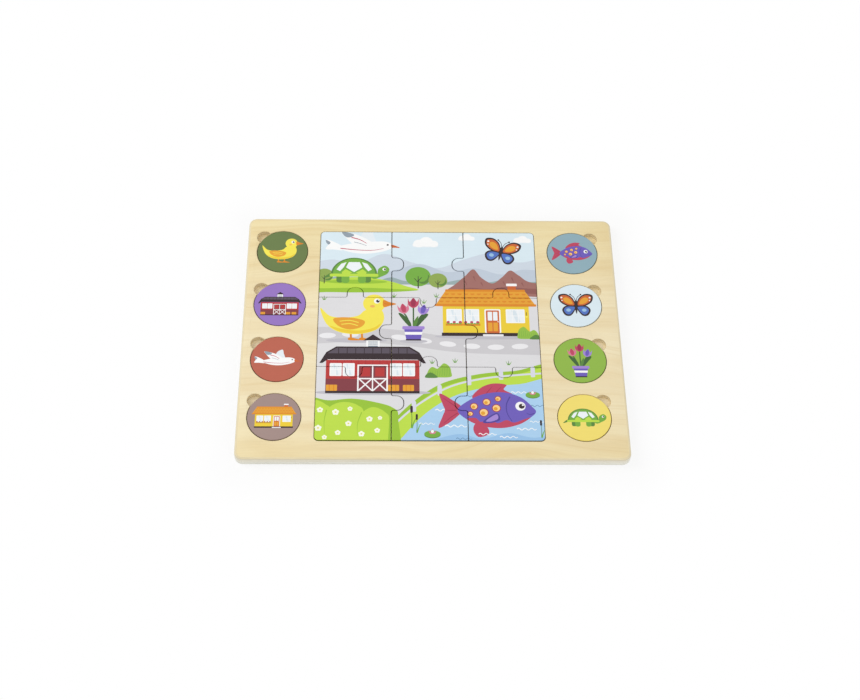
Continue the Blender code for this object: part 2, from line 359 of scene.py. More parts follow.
def veneer_material(name, veneer, streak, vein):
    """Sanded basswood veneer: pale and even, with a grain that is no more than soft tan clouds."""
    material, tree = new_material(name)
    here = node(tree, "TexCoord")["Object"]
    # The grain wanders 10 mm to either side over a length of 150 mm
    wander = node(tree, "TexNoise", {
        "Vector": stretched(tree, 150, 110, 110), "Scale": 1.0, "Detail": 1.0,
    })
    bent = node(tree, "VectorMath", {
        0: wander["Color"], 1: (0.0, 60 * MM, 0.0), 2: here,
    }, operation="MULTIPLY_ADD")["Vector"]
    # Growth rings are cut nearly flat and run into clouds 90 mm long and 12 mm wide
    clouds = node(tree, "TexNoise", {
        "Vector": stretched(tree, 90, 12, 12, 2, bent), "Scale": 1.0,
    })
    cloud_share = node(tree, "ValToRGB", {"Fac": clouds["Fac"]}, stops=((0.36, 0.0), (0.66, 1.0)))
    clouded = node(tree, "Mix", {
        SHARE: cloud_share["Color"], UNDER: veneer, OVER: streak,
    }, data_type="RGBA")
    # Single rings show as faint lines 2.5 mm apart, in some places only
    rings = node(tree, "TexNoise", {
        "Vector": stretched(tree, 120, 2.5, 2.5, 2, bent), "Scale": 1.0, "Roughness": 0.55,
    })
    ring_share = node(tree, "ValToRGB", {"Fac": rings["Fac"]}, stops=((0.52, 0.0), (0.72, 0.4)))
    ringed = node(tree, "Mix", {
        SHARE: ring_share["Color"], UNDER: clouded[MIXED], OVER: vein,
    }, data_type="RGBA")
    # The sheet's pale sapwood lies 20 mm nearer than its middle, and beside it the tone deepens
    across = node(tree, "Math", {
        0: node(tree, "SeparateXYZ", {"Vector": here})["Y"], 1: 20 * MM,
    }, operation="ADD")
    away = node(tree, "Math", {0: across["Value"]}, operation="ABSOLUTE")
    deeper = node(tree, "MapRange", {
        "Value": away["Value"], "From Min": 30 * MM, "From Max": 130 * MM,
    }, interpolation_type="SMOOTHSTEP")
    tinted = node(tree, "Mix", {
        SHARE: deeper["Result"], UNDER: ringed[MIXED], OVER: settings().wood.heart,
    }, data_type="RGBA", blend_type="MULTIPLY")
    # Fibres are 0.05 mm wide in basswood, drawn at 0.5 mm
    fibres = node(tree, "TexNoise", {
        "Vector": stretched(tree, 14, 0.5, 0.5, 2, bent), "Scale": 1.0,
    })
    finish_fibrous(tree, tinted[MIXED], fibres["Fac"], (0.965, 1.01), (0.46, 0.6), 0.06)
    return material


def plywood_edge_material(name, low, plies, shades):
    """A plywood edge: plies from the lowest up, each in its shade, with glue between them."""
    material, tree = new_material(name)
    height = node(tree, "SeparateXYZ", {"Vector": node(tree, "TexCoord")["Object"]})["Z"]
    # The plies aren't dead straight: they waver by 0.15 mm along the edge
    reach = 0.15 * MM
    waver = node(tree, "TexNoise", {
        "Vector": stretched(tree, 26, 26, 26), "Scale": 1.0, "Detail": 1.0,
    })
    wavering = node(tree, "Math", {
        0: waver["Fac"], 1: 2 * reach, 2: height,
    }, operation="MULTIPLY_ADD")
    level = node(tree, "MapRange", {
        "Value": wavering["Value"], "From Min": low + reach,
        "From Max": low + reach + sum(plies) * MM,
    })["Result"]
    tops = [sum(plies[:k]) / sum(plies) for k in range(1, len(plies))]
    half = GLUE_LINE / 2 / sum(plies)
    layers = node(tree, "ValToRGB", {"Fac": level}, stepped=True,
                  stops=list(zip([0.0, *tops], shades)))
    glue_stops = [stop for top in tops for stop in ((top - half, 0.5), (top + half, 0.0))]
    lines = node(tree, "ValToRGB", {"Fac": level}, stepped=True, stops=[(0.0, 0.0), *glue_stops])
    glued = node(tree, "Mix", {
        SHARE: lines["Color"], UNDER: layers["Color"], OVER: settings().wood.glue,
    }, data_type="RGBA")
    # Fibres lie along the edge, 0.3 mm high and 12 mm long
    fibres = node(tree, "TexNoise", {
        "Vector": stretched(tree, 12, 12, 0.3), "Scale": 1.0, "Detail": 3.0, "Roughness": 0.6,
    })
    finish_fibrous(tree, glued[MIXED], fibres["Fac"], (0.9, 1.03), (0.55, 0.72), 0.08)
    return material


def burnt_wall_material(name):
    """Laser-cut plywood: ink at the very top, and below it walls burnt dark in fine streaks."""
    wood = settings().wood
    material, tree = new_material(name)
    # The beam leaves upright marks about 0.6 mm apart
    marks = node(tree, "TexNoise", {
        "Vector": stretched(tree, 0.6, 0.6, 9), "Scale": 1.0, "Detail": 3.0, "Roughness": 0.6,
    })
    plies = node(tree, "TexNoise", {"Vector": stretched(tree, 30, 30, 0.9), "Scale": 1.0})
    heat = node(tree, "Math", {0: marks["Fac"], 1: plies["Fac"]}, operation="MULTIPLY")
    char = node(tree, "MapRange", {"Value": heat["Value"], "From Min": 0.15, "From Max": 0.4})
    burnt = node(tree, "Mix", {
        SHARE: char["Result"], UNDER: wood.charred, OVER: wood.burnt,
    }, data_type="RGBA")
    # Ink runs down the wall to 0.8 mm below the printed face, with a soft end 0.3 mm high
    height = node(tree, "SeparateXYZ", {"Vector": node(tree, "TexCoord")["Object"]})["Z"]
    inked = node(tree, "MapRange", {
        "Value": height, "From Min": PRINT_HEIGHT - 0.95 * MM,
        "From Max": PRINT_HEIGHT - 0.65 * MM,
    }, interpolation_type="SMOOTHSTEP")
    ink = node(tree, "VertexColor", layer_name=INK_LAYER)
    base = node(tree, "Mix", {
        SHARE: inked["Result"], UNDER: burnt[MIXED], OVER: ink["Color"],
    }, data_type="RGBA")
    finish_material(tree, base[MIXED], 0.7, marks["Fac"], 0.05)
    return material


def print_material(name):
    """Offset print under matt lacquer: flat clean inks with the grain of the wood just felt."""
    material, tree = new_material(name)
    # The veneer's fibres telegraph through the ink, drawn 0.6 mm wide
    fibres = node(tree, "TexNoise", {"Vector": stretched(tree, 12, 0.6, 0.6), "Scale": 1.0})
    # Ink takes a little unevenly over patches of about 15 mm
    patches = node(tree, "TexNoise", {"Vector": stretched(tree, 15, 15, 15), "Scale": 1.0})
    tone = node(tree, "Math", {0: fibres["Fac"], 1: patches["Fac"]}, operation="ADD")
    shade = node(tree, "MapRange", {
        "Value": tone["Value"], "From Min": 0.6, "From Max": 1.4, "To Min": 0.965,
        "To Max": 1.015,
    })
    ink = node(tree, "VertexColor", layer_name=INK_LAYER)
    base = node(tree, "VectorMath", {
        0: ink["Color"], "Scale": shade["Result"],
    }, operation="SCALE")
    gloss = node(tree, "MapRange", {"Value": fibres["Fac"], "To Min": 0.4, "To Max": 0.5})
    # Matting powder in the lacquer breaks up most of the light that its surface would reflect
    finish_material(tree, base["Vector"], gloss["Result"], fibres["Fac"], 0.03, specular=0.2)
    return material


def only(piece):
    """Makes one object the only selected and the active one."""
    bpy.ops.object.select_all(action="DESELECT")
    piece.select_set(True)
    bpy.context.view_layer.objects.active = piece


def pick(piece, kind, test):
    """Selects the faces or the edges that pass a test, and stays in edit mode."""
    bpy.ops.object.mode_set(mode="EDIT")
    bpy.ops.mesh.select_mode(type=kind)
    bpy.ops.mesh.select_all(action="DESELECT")
    bpy.ops.object.mode_set(mode="OBJECT")
    for part in piece.data.polygons if kind == "FACE" else piece.data.edges:
        part.select = test(part)
    bpy.ops.object.mode_set(mode="EDIT")


def merged_copy(name, node_name):
    """A copy of a CAD node with its loose triangles merged."""
    piece = bpy.data.objects.new(name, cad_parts[node_name].data.copy())
    bpy.context.scene.collection.objects.link(piece)
    piece.data.materials.clear()
    only(piece)
    bpy.ops.mesh.customdata_custom_splitnormals_clear()
    bpy.ops.object.mode_set(mode="EDIT")
    bpy.ops.mesh.select_all(action="SELECT")
    bpy.ops.mesh.remove_doubles(threshold=SAME_POINT)
    bpy.ops.object.mode_set(mode="OBJECT")
    return piece


def at_height(piece, height):
    """A test for edges that lie at one height."""
    def test(edge):
        return all(abs(piece.data.vertices[v].co.z - height) < SAME_HEIGHT for v in edge.vertices)
    return test


def jigsaw_blank(name, node_name):
    """A plain piece with the cut outline of its node: its underside, drawn up to its top."""
    low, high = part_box(node_name)
    piece = merged_copy(name, node_name)
    pick(piece, "FACE", lambda face: face.center.z > low.z + SAME_HEIGHT)
    bpy.ops.mesh.delete(type="FACE")
    bpy.ops.mesh.select_all(action="SELECT")
    bpy.ops.mesh.dissolve_limited(angle_limit=math.radians(1))
    bpy.ops.mesh.select_all(action="SELECT")
    bpy.ops.mesh.extrude_region_move(TRANSFORM_OT_translate={"value": (0, 0, high.z - low.z)})
    bpy.ops.mesh.select_all(action="SELECT")
    bpy.ops.mesh.normals_make_consistent(inside=False)
    bpy.ops.object.mode_set(mode="OBJECT")
    return piece


def tile_blank(name, low, high):
    """A plain round tile that fills a node's box."""
    bpy.ops.object.select_all(action="DESELECT")
    bpy.ops.mesh.primitive_cylinder_add(
        vertices=settings().shape.tile_sides, radius=(high.x - low.x) / 2,
        depth=high.z - low.z, location=(low + high) / 2)
    piece = bpy.context.active_object
    piece.name = name
    only(piece)
    bpy.ops.object.transform_apply(location=True, rotation=True, scale=True)
    return piece


def soften_edges(piece, low, high):
    """Rounds a blank's upper edge, bevels its lower one and cuts its slanting rim to triangles."""
    shape = settings().shape
    pick(piece, "EDGE", at_height(piece, high.z))
    bpy.ops.mesh.bevel(offset=shape.rim_radius, segments=shape.rim_steps, affect="EDGES",
                       clamp_overlap=False)
    pick(piece, "EDGE", at_height(piece, low.z))
    bpy.ops.mesh.bevel(offset=shape.foot_radius, segments=1, affect="EDGES", clamp_overlap=False)
    pick(piece, "FACE", lambda face: face.normal.z > LEVEL)
    bpy.ops.mesh.inset(thickness=shape.rim_land)
    pick(piece, "FACE", lambda face: shape.print_slope < face.normal.z < LEVEL)
    bpy.ops.mesh.quads_convert_to_tris(quad_method="BEAUTY", ngon_method="BEAUTY")
    bpy.ops.object.mode_set(mode="OBJECT")


def anticlockwise(outline):
    """The outline with its inside on its left."""
    area = sum(a[0] * b[1] - b[0] * a[1] for a, b in zip(outline, outline[1:] + outline[:1]))
    return outline if area > 0 else outline[::-1]


def boxes_meet(outline, low, high):
    """Whether an outline's box meets a piece's box, all in millimetres."""
    return all(min(p[i] for p in outline) < high[i] and max(p[i] for p in outline) > low[i]
               for i in (0, 1))


def cut_by_inks(printed, prints, vertices):
    """Cuts upward faces along the prints' outlines, later prints over earlier ones.

    It gives each new face's corners, its ink and the shade that this has there. New points go to
    the end of vertices, each on the slope of the blank's face that it lies in.
    """
    used = sorted({v for face in printed for v in face.vertices})
    points = [Vector((vertices[v].x, vertices[v].y)) / MM for v in used]
    number = {v: k for k, v in enumerate(used)}
    outlines = [[number[v] for v in face.vertices] for face in printed]
    low = [min(p[i] for p in points) for i in (0, 1)]
    high = [max(p[i] for p in points) for i in (0, 1)]
    inks = []
    for ink, *shapes in prints:
        for outline in shapes:
            if boxes_meet(outline, low, high):
                inks.append(Vector(getattr(settings().inks, ink)))
                outlines.append(list(range(len(points), len(points) + len(outline))))
                points += [Vector(p) for p in anticlockwise(outline)]
    found, _, faces, from_points, _, from_faces = delaunay_2d_cdt(points, [], outlines, 1, WELD)

    index = {}
    for new, sources in enumerate(from_points):
        old = [s for s in sources if s < len(used)]
        if old:
            index[new] = used[old[0]]
    burnt = Vector(settings().wood.burnt)
    scorch = settings().shape.rim_scorch
    cut = []
    for face, sources in zip(faces, from_faces):
        blanks = [s for s in sources if s < len(printed)]
        if not blanks:
            continue
        plane = printed[blanks[0]]
        for new in face:
            if new not in index:
                x, y = found[new] * MM
                away = Vector((x, y, 0)) - plane.center
                z = -(plane.normal.x * away.x + plane.normal.y * away.y) / plane.normal.z
                index[new] = len(vertices)
                vertices.append(Vector((x, y, plane.center.z + z)))
        ink = inks[max(sources) - len(printed)]
        shade = ink.lerp(burnt, scorch) if plane.normal.z < STEEP else ink
        cut.append(([index[new] for new in face], ink, shade))
    return cut


def with_rim_points(ring, follows, blank_count):
    """A wall's corners, with the new points that the cuts have put on the print's rim."""
    whole = []
    for a, b in zip(ring, ring[1:] + ring[:1]):
        between = []
        if a in follows and b in follows:
            step = follows[b]
            while step >= blank_count:
                between.append(step)
                step = follows[step]
            if step != a:
                between = []
        whole += [a] + between[::-1]
    return whole


def imprint(piece, prints):
    """Cuts the prints into a piece's upward faces and stores each ink's colour at the corners.

    Where ink meets the rim it runs down the wall for a bit, in a band of faces of its own.
    """
    mesh = piece.data
    shape = settings().shape
    vertices = [vertex.co.copy() for vertex in mesh.vertices]
    blank_count = len(vertices)
    printed = [face for face in mesh.polygons if face.normal.z > shape.print_slope]
    others = [face for face in mesh.polygons if face.normal.z <= shape.print_slope]
    cut = cut_by_inks(printed, prints, vertices)

    edges = {(face[k - 1], face[k]): ink for face, ink, _ in cut for k in range(len(face))}
    follows = {a: b for a, b in edges if (b, a) not in edges}
    under = {}
    for a in follows:
        under[a] = len(vertices)
        vertices.append(Vector((vertices[a].x, vertices[a].y, PRINT_HEIGHT - shape.ink_run)))
    band = [([b, a, under[a], under[b]], edges[a, b]) for a, b in follows.items()]
    walls = [[under.get(v, v) for v in with_rim_points(list(face.vertices), follows, blank_count)]
             for face in others]

    faces = [corners for corners, _, _ in cut] + [corners for corners, _ in band] + walls
    bare = linear("#FFFFFF")
    shades = [shade for _, _, shade in cut] + [ink for _, ink in band] + [bare] * len(walls)
    slots = ([PRINT] * len(cut) + [WALL] * len(band)
             + [BACK if face.normal.z < -LEVEL else WALL for face in others])
    mesh.clear_geometry()
    mesh.from_pydata(vertices, [], faces)
    mesh.polygons.foreach_set("material_index", slots)
    layer = mesh.color_attributes.new(name=INK_LAYER, type="FLOAT_COLOR", domain="CORNER")
    for face, shade in zip(mesh.polygons, shades):
        for corner in face.loop_indices:
            layer.data[corner].color = shade
    mesh.update()


def turned(points, turn, x=0.0, y=0.0):
    """Points turned by some degrees round the origin and then moved."""
    c, s = math.cos(math.radians(turn)), math.sin(math.radians(turn))
    return [(x + c * px - s * py, y + s * px + c * py) for px, py in points]


def oval(x, y, across, high=None, start=0, end=360, turn=0):
    """An ellipse by its half width and half height, or the part of it between two angles."""
    high = across if high is None else high
    step = math.degrees(2 * math.acos(1 - CURVE_ERROR / max(across, high, 4 * CURVE_ERROR)))
    count = max(4, math.ceil((end - start) / step))
    last = count if end - start == 360 else count + 1
    angles = [math.radians(start + (end - start) * k / count) for k in range(last)]
    return turned([(across * math.cos(a), high * math.sin(a)) for a in angles], turn, x, y)


def bar(left, low, right, high, corner=0):
    """An upright rectangle, with rounded corners if it has a corner radius."""
    if corner == 0:
        return [(left, low), (right, low), (right, high), (left, high)]
    spots = ((right - corner, high - corner, 0), (left + corner, high - corner, 90),
             (left + corner, low + corner, 180), (right - corner, low + corner, 270))
    return [point for x, y, start in spots
            for point in oval(x, y, corner, corner, start, start + 90)]


def beyond(last, before):
    """The point as far beyond the last one as the one before it is on this side."""
    return (2 * last[0] - before[0], 2 * last[1] - before[1])


def spline(points, closed=False):
    """A smooth line through chosen points."""
    line = []
    if closed:
        row = [points[-1], *points, *points[:2]]
    else:
        row = [beyond(points[0], points[1]), *points, beyond(points[-1], points[-2])]
    for a, b, c, d in zip(row, row[1:], row[2:], row[3:]):
        for t in (j / SPAN_STEPS for j in range(SPAN_STEPS)):
            line.append(tuple(
                ((-t + 2 * t * t - t ** 3) * a[i] + (2 - 5 * t * t + 3 * t ** 3) * b[i]
                 + (t + 4 * t * t - 3 * t ** 3) * c[i] + (t ** 3 - t * t) * d[i]) / 2
                for i in (0, 1)))
    return line if closed else line + [points[-1]]


def blob(*points):
    """A closed smooth outline through chosen points."""
    return spline(points, closed=True)


def poly(*points):
    """A closed outline with straight sides."""
    return list(points)


def stroke(width, *points, end_width=None):
    """A brush line along a smooth path, as wide at its end as end_width says."""
    line = spline(points) if len(points) > 2 else points
    end_width = width if end_width is None else end_width
    left, right = [], []
    for k, (x, y) in enumerate(line):
        before, after = line[max(k - 1, 0)], line[min(k + 1, len(line) - 1)]
        dx, dy = after[0] - before[0], after[1] - before[1]
        size = math.hypot(dx, dy)
        half = (width + (end_width - width) * k / (len(line) - 1)) / 2
        left.append((x - dy / size * half, y + dx / size * half))
        right.append((x + dy / size * half, y - dx / size * half))
    return left + right[::-1]


def placed(shapes, x, y, size=1.0, mirror=False, turn=0):
    """A motif at its place in the picture, at its size, mirrored if it looks the other way.

    A motif is a list of rows from the back to the front, each an ink and the outlines in it.
    """
    flip = -size if mirror else size
    rows = []
    for ink, *outlines in shapes:
        sized = ([(flip * px, size * py) for px, py in outline] for outline in outlines)
        rows.append((ink, *(turned(outline, turn, x, y) for outline in sized)))
    return rows


def duck():
    """A yellow duck that walks to the right."""
    legs = [
        ("orange", stroke(1.7, (x, -11), (x + 0.5, -19.5)),
         blob((x - 1.5, -19), (x + 2, -19), (x + 8.5, -21.3), (x - 1, -21.3)))
        for x in (-4, 5)
    ]
    return legs + [
        ("lemon",
         blob((-29, 10), (-21, 2.2), (-9, 0.6), (2, 2.6), (8, 8), (20, 9), (23, -1), (17, -11),
              (2, -15.5), (-14, -13.2), (-24, -5)),
         oval(15, 14.5, 9.2, 9)),
        ("yellow", blob((-21, -7.5), (-12, -10.2), (2, -12), (14, -9.5), (20.5, -5), (16, -11.2),
                        (2, -15), (-13, -12.8))),
        ("orange", blob((22.4, 18), (27, 16.2), (33, 14.2), (28, 12.4), (22.6, 11.2))),
        ("rust", stroke(0.5, (23, 14.4), (27, 14), (31, 14.2))),
        ("white", oval(17.2, 17, 2.5)),
        ("umber", oval(17.9, 16.9, 1.5)),
        ("white", oval(18.5, 17.6, 0.45)),
        ("blush", oval(13.5, 11.8, 2, 1.3)),
        ("amber", blob((-18, -0.5), (-6, 0.8), (7, -2.5), (4.5, -8.5), (-5, -11), (-14, -7.5))),
        ("lemon",
         stroke(0.8, (-13, -3), (-5, -2.2), (2.5, -4.2)),
         stroke(0.8, (-11.5, -6), (-4.5, -5.4), (1.8, -7.2))),
    ]


def window(x, low, across, high, frame_ink, bars=1):
    """A white window in a coloured frame, with a glazing bar or two."""
    border, half_bar = 0.9, 0.3
    right, top = x + across, low + high
    level = low + high * 0.52
    middles = [x + across * (k + 1) / (bars + 1) for k in range(bars)]
    return [
        (frame_ink, bar(x - border, low - border, right + border, top + border, 0.8)),
        ("pane", bar(x, low, right, top, 0.7)),
        ("pane_shade", poly((x + across * 0.55, low), (x + across * 0.8, low),
                            (x + across * 0.5, top), (x + across * 0.25, top))),
        (frame_ink,
         *(bar(middle - half_bar, low, middle + half_bar, top) for middle in middles),
         bar(x, level - half_bar, right, level + half_bar)),
    ]


def cottage():
    """A yellow cottage with an orange tiled roof."""
    shapes = [
        ("rust", bar(19, 12, 26, 28.5)),
        ("white", bar(18, 27, 27, 29.6, 0.6)),
        ("yellow", bar(-36, -21, 36, 10)),
        ("honey", bar(-36, 5.5, 36, 10)),
        ("amber", poly((-42, 7.2), (-33, 22.6), (33, 22.6), (42, 7.2))),
        ("orange", bar(-33.6, 21.2, 33.6, 23.4, 0.8), bar(-42.6, 6.2, 42.6, 8.6, 1.0)),
        ("umber", bar(-37, -23.4, 37, -20.2)),
    ]
    for row in range(3):
        y = 10.2 + 3.7 * row
        reach = 39.5 - 2.2 * row
        count = 15 - row
        for k in range(count):
            x = reach * (2 * (k + 0.5) / count - 1)
            shapes.append(("orange", oval(x, y + 1.6, 1.9, 1.6, 180, 360)))
    for x in (-32, -17.5):
        shapes += window(x, -9.5, 11, 12, "white")
        shapes.append(("orange", bar(x - 1.6, -13.2, x + 12.6, -11)))
        for k in range(5):
            middle = x + 0.5 + 2.5 * k
            shapes += [
                (("crimson", "white")[k % 2], oval(middle, -9.9, 1.4)),
                ("leaf", oval(middle, -11.2, 1.1, 0.7)),
            ]
    shapes += window(17.5, -9.5, 14, 12, "white", 2)
    return shapes + [
        ("white", bar(-1.2, -20.4, 12.2, 3.4, 1.2)),
        ("rust", bar(0, -20.4, 11, 2.2, 0.8)),
        ("pane", bar(1.4, -8, 5.1, 0.8, 0.4), bar(5.9, -8, 9.6, 0.8, 0.4)),
        ("amber", bar(1.4, -18.6, 5.1, -10), bar(5.9, -18.6, 9.6, -10)),
        ("white", oval(9.9, -9.1, 0.5)),
        ("stone", bar(-3, -23.6, 14, -21.6, 0.5)),
        ("lemon", oval(33.8, -4, 1.2)),
        ("umber", stroke(0.5, (33.8, -3), (33.8, 0.5))),
    ]


def barn():
    """A red barn with white windows and a pair of braced doors."""
    louvres = (21, 23, 25)
    board_joints = [-35 + 5.8 * k for k in range(13)]
    shapes = [
        ("white", bar(-5.5, 19, 5.5, 27.5)),
        ("umber", poly((-8, 27), (0, 33), (8, 27))),
        ("red", bar(-38, -22, 38, 8)),
        ("steel", *(bar(-4, y, 4, y + 1) for y in louvres)),
        ("maroon_soft", *(bar(x, -9, x + 0.5, 8) for x in board_joints)),
        ("maroon", bar(-38, -22, 38, -10)),
        ("umber", poly((-43.5, 5), (-38, 15.5), (-30, 21), (30, 21), (38, 15.5), (43.5, 5),
                       (41, 5), (36.5, 8.5), (-36.5, 8.5), (-41, 5))),
        ("slate", poly((-37, 14.4), (-29.6, 19.6), (29.6, 19.6), (37, 14.4))),
        ("umber", bar(-38, -23.6, 38, -21.4),
         *(bar(x - 0.3, 14.4, x + 0.3, 19.6) for x in range(-28, 29, 7))),
    ]
    for x in (-34, -23.5, 15, 25.5):
        shapes += window(x, -6.5, 8, 10.5, "white")
    shapes += [
        ("white", bar(-12.4, -21.6, 12.4, 3.6)),
        ("maroon", bar(-11.2, -21.6, -0.5, 2.4), bar(0.5, -21.6, 11.2, 2.4)),
    ]
    for left in (-11.2, 0.5):
        right = left + 10.7
        shapes += [
            ("white",
             stroke(1.1, (left, -21), (right, -9.8)), stroke(1.1, (right, -21), (left, -9.8)),
             bar(left, -10.4, right, -9.2)),
            ("red", bar(left + 1.6, -7.6, right - 1.6, 0.8)),
        ]
    for x in (-33, 17, 29):
        shapes += [
            ("amber", bar(x - 4.5, -21.4, x + 4.5, -15.6, 0.7)),
            ("orange", bar(x - 2.2, -21.4, x - 1.4, -15.6), bar(x + 1.4, -21.4, x + 2.2, -15.6)),
        ]
    return shapes


def fish():
    """A violet fish with crimson fins, which swims to the right."""
    shapes = [
        ("crimson", blob((-22, 1), (-31, 10), (-40, 15), (-37.5, 5), (-36, 0), (-38, -6),
                         (-41, -16), (-31, -10))),
        ("crimson_dark",
         stroke(0.8, (-26, 2.5), (-32, 7), (-37, 11), end_width=0.3),
         stroke(0.8, (-27, 0), (-32, -0.2), (-35, 0), end_width=0.3),
         stroke(0.8, (-26, -2.5), (-32, -7), (-37, -12), end_width=0.3)),
        ("crimson", blob((-14, 11), (-8, 20), (2, 24.5), (13, 23.5), (11, 19), (18, 14), (4, 12))),
        ("crimson_dark",
         stroke(0.8, (-4, 14), (-1, 18), (2, 22), end_width=0.3),
         stroke(0.8, (4, 15), (6, 18), (9, 21.5), end_width=0.3)),
        ("crimson", blob((-4, -14), (-2, -21), (-10, -24), (-14, -18), (-12, -12))),
        ("violet", blob((-26, 0), (-19, 7.5), (-6, 14.5), (10, 16.5), (24, 12), (33, 3),
                        (35.5, -1.5), (31, -6.5), (22, -12.5), (8, -16), (-8, -14), (-20, -7.5))),
        ("crimson", blob((-19, -8), (-12, -7), (-8, -10.5), (-1, -8), (5, -11.5), (12, -8.8),
                         (18, -11), (26, -8), (31, -6.6), (22, -12.6), (8, -16), (-8, -14))),
    ]
    spots = ((-13, 3.5, 2.5), (-5.5, -2, 3.1), (-3, 7.5, 2.6), (4.5, 2, 2.9), (-16, -3.2, 1.7),
             (6, 10.5, 2.0))
    for x, y, size in spots:
        shapes += [
            ("crimson_dark", oval(x, y, size + 0.7)),
            ("amber_pale", oval(x, y, size)),
            ("amber", oval(x - 0.2 * size, y - 0.2 * size, size * 0.55)),
        ]
    return shapes + [
        ("violet_dark",
         stroke(1.0, (15.5, 12.5), (12.5, 5), (13, -3), (16.5, -10), end_width=0.5),
         blob((5, -2.5), (-2, -6), (-6.5, -11), (0, -11.4), (7, -8.6))),
        ("lilac", blob((4.5, -3.6), (-1, -6.8), (-4, -10), (0.5, -10), (5.5, -7.6))),
        ("white", oval(23.5, 3.8, 4.0)),
        ("umber", oval(24.5, 3.8, 2.3)),
        ("white", oval(25.4, 4.8, 0.8)),
        ("violet_dark", stroke(0.8, (34.2, -2.8), (30.5, -3.6), (28, -2.4), end_width=0.4)),
    ]


def tortoise():
    """A green tortoise with a plated shell, which walks to the right."""
    return [
        ("leaf_dark",
         blob((-20, -7), (-27, -9), (-21, -4)), bar(-15.5, -14, -9, -4, 2.6),
         bar(8.5, -14, 15, -4, 2.6)),
        ("leaf",
         bar(-11, -14.5, -4, -4, 2.8), bar(3.5, -14.5, 10.5, -4, 2.8),
         blob((14, -7), (20, -5), (21.5, 1), (27, 4.5), (31, 1), (29.5, -4), (24, -7.5),
              (18, -10))),
        ("white", oval(26.6, 0.6, 1.6)),
        ("umber", oval(27.1, 0.6, 0.95)),
        ("leaf_dark",
         stroke(0.5, (30.6, -2.2), (28.6, -2.9), (27, -2.4)), oval(0, -5.5, 20.5, 18.5, 0, 180)),
        ("leaf", oval(0, -4.8, 18.6, 16.6, 0, 180)),
        ("pane",
         poly((-4.8, 8.2), (4.8, 8.2), (7.2, 2.4), (0, -2.6), (-7.2, 2.4)),
         poly((-9.3, 2.6), (-6.8, 8.2), (-11.6, 6.3), (-15.6, 0.2), (-12.4, -1.6)),
         poly((9.3, 2.6), (6.8, 8.2), (11.6, 6.3), (15.6, 0.2), (12.4, -1.6))),
        ("lime",
         poly((-11, -2.8), (-7.6, 0.6), (-1.6, -3.2), (-4.5, -4.8), (-10.4, -4.8)),
         poly((11, -2.8), (7.6, 0.6), (1.6, -3.2), (4.5, -4.8), (10.4, -4.8)),
         bar(-21.5, -7.6, 21.5, -4.4, 1.6)),
    ]


def bird():
    """A white seabird that glides to the right."""
    return [
        ("cloud_shade", blob((2, 3), (-2, 11), (0, 17), (7, 20.5), (9, 14), (11, 5))),
        ("white",
         blob((-19, 2), (-28, 7.5), (-33, 8.5), (-31, 3.5), (-33, -1.5), (-26, -2), (-18, -2.5)),
         blob((-22, 0.5), (-10, 4.8), (6, 6.6), (18, 7.2), (25, 4.6), (25.5, 0.4), (18, -3.6),
              (4, -6.2), (-10, -5))),
        ("crimson", stroke(0.9, (-20, -0.6), (-6, -2.2), (8, -2.6), (18, -0.6), end_width=0.4)),
        ("rust", blob((25, 3.6), (29, 2.4), (32.5, 0.2), (28.5, 0.4), (25.2, 0.6))),
        ("umber", oval(21.6, 3.4, 0.95)),
        ("white", blob((10, 3), (4, 9), (-6, 14.5), (-19, 17.5), (-16, 12), (-9, 4), (-2, 0))),
        ("steel", blob((-19, 17.5), (-12, 16.4), (-8, 14), (-12, 11.5), (-16, 12.4))),
        ("crimson", stroke(1.1, (-10.5, 11.5), (-3, 9), (3, 5), end_width=0.5)),
        ("steel",
         stroke(0.7, (-8, 6.5), (-2, 4.6), (3, 2.4), end_width=0.4),
         blob((-33, 8.5), (-29, 6), (-30.5, 3.4), (-32.5, 5.4))),
    ]


def butterfly():
    """An orange and blue butterfly with open wings."""
    wing = [
        ("umber", blob((0.5, 1), (3, 9), (9, 13.5), (15.5, 12), (15, 5.5), (10, 1), (3, -0.5))),
        ("rust", blob((1.5, 2), (4, 8.5), (9, 12), (14, 10.8), (13.4, 5.8), (9, 2), (4, 0.6))),
        ("amber", blob((3, 2.6), (5, 7.4), (8.6, 9.6), (11.4, 8.4), (10.6, 5), (7, 2.6))),
        ("white", oval(13, 9.4, 0.9), oval(12.6, 6.2, 0.6)),
        ("umber", blob((0.5, 0), (9, 0.4), (13, -4), (10.5, -10), (5.5, -10.5), (1.5, -5))),
        ("blue", blob((1.5, -1), (8.4, -0.9), (11.4, -4.4), (9.2, -8.6), (5.9, -8.9),
                      (2.6, -4.8))),
        ("glass", oval(7.2, -4.4, 2.1, 1.8)),
        ("umber", stroke(0.55, (0.3, 6), (1.8, 10), (4.6, 12.6)), oval(4.8, 12.8, 0.8)),
    ]
    body = [("umber", blob((0, 6.5), (1.5, 4), (1.2, -3), (0, -8.5), (-1.2, -3), (-1.5, 4)))]
    return wing + placed(wing, 0, 0, mirror=True) + body


def tulip(x, y, ink, dark, lean):
    """One tulip head on its stem, from the pot up to its place."""
    head = blob((-4.6, 4.8), (-3.2, 1.6), (0, 5.6), (3.2, 1.6), (4.6, 4.8), (4.4, -1.6), (0, -5),
                (-4.4, -1.6))
    heart = blob((-2, 1.6), (0, 5.4), (2, 1.6), (1.6, -2.6), (0, -3.6), (-1.6, -2.6))
    return [
        ("forest", stroke(1.3, (0.3 * x, -9), (0.6 * x, 0), (x, y - 4))),
        (ink, turned(head, lean, x, y)),
        (dark, turned(heart, lean, x, y)),
    ]


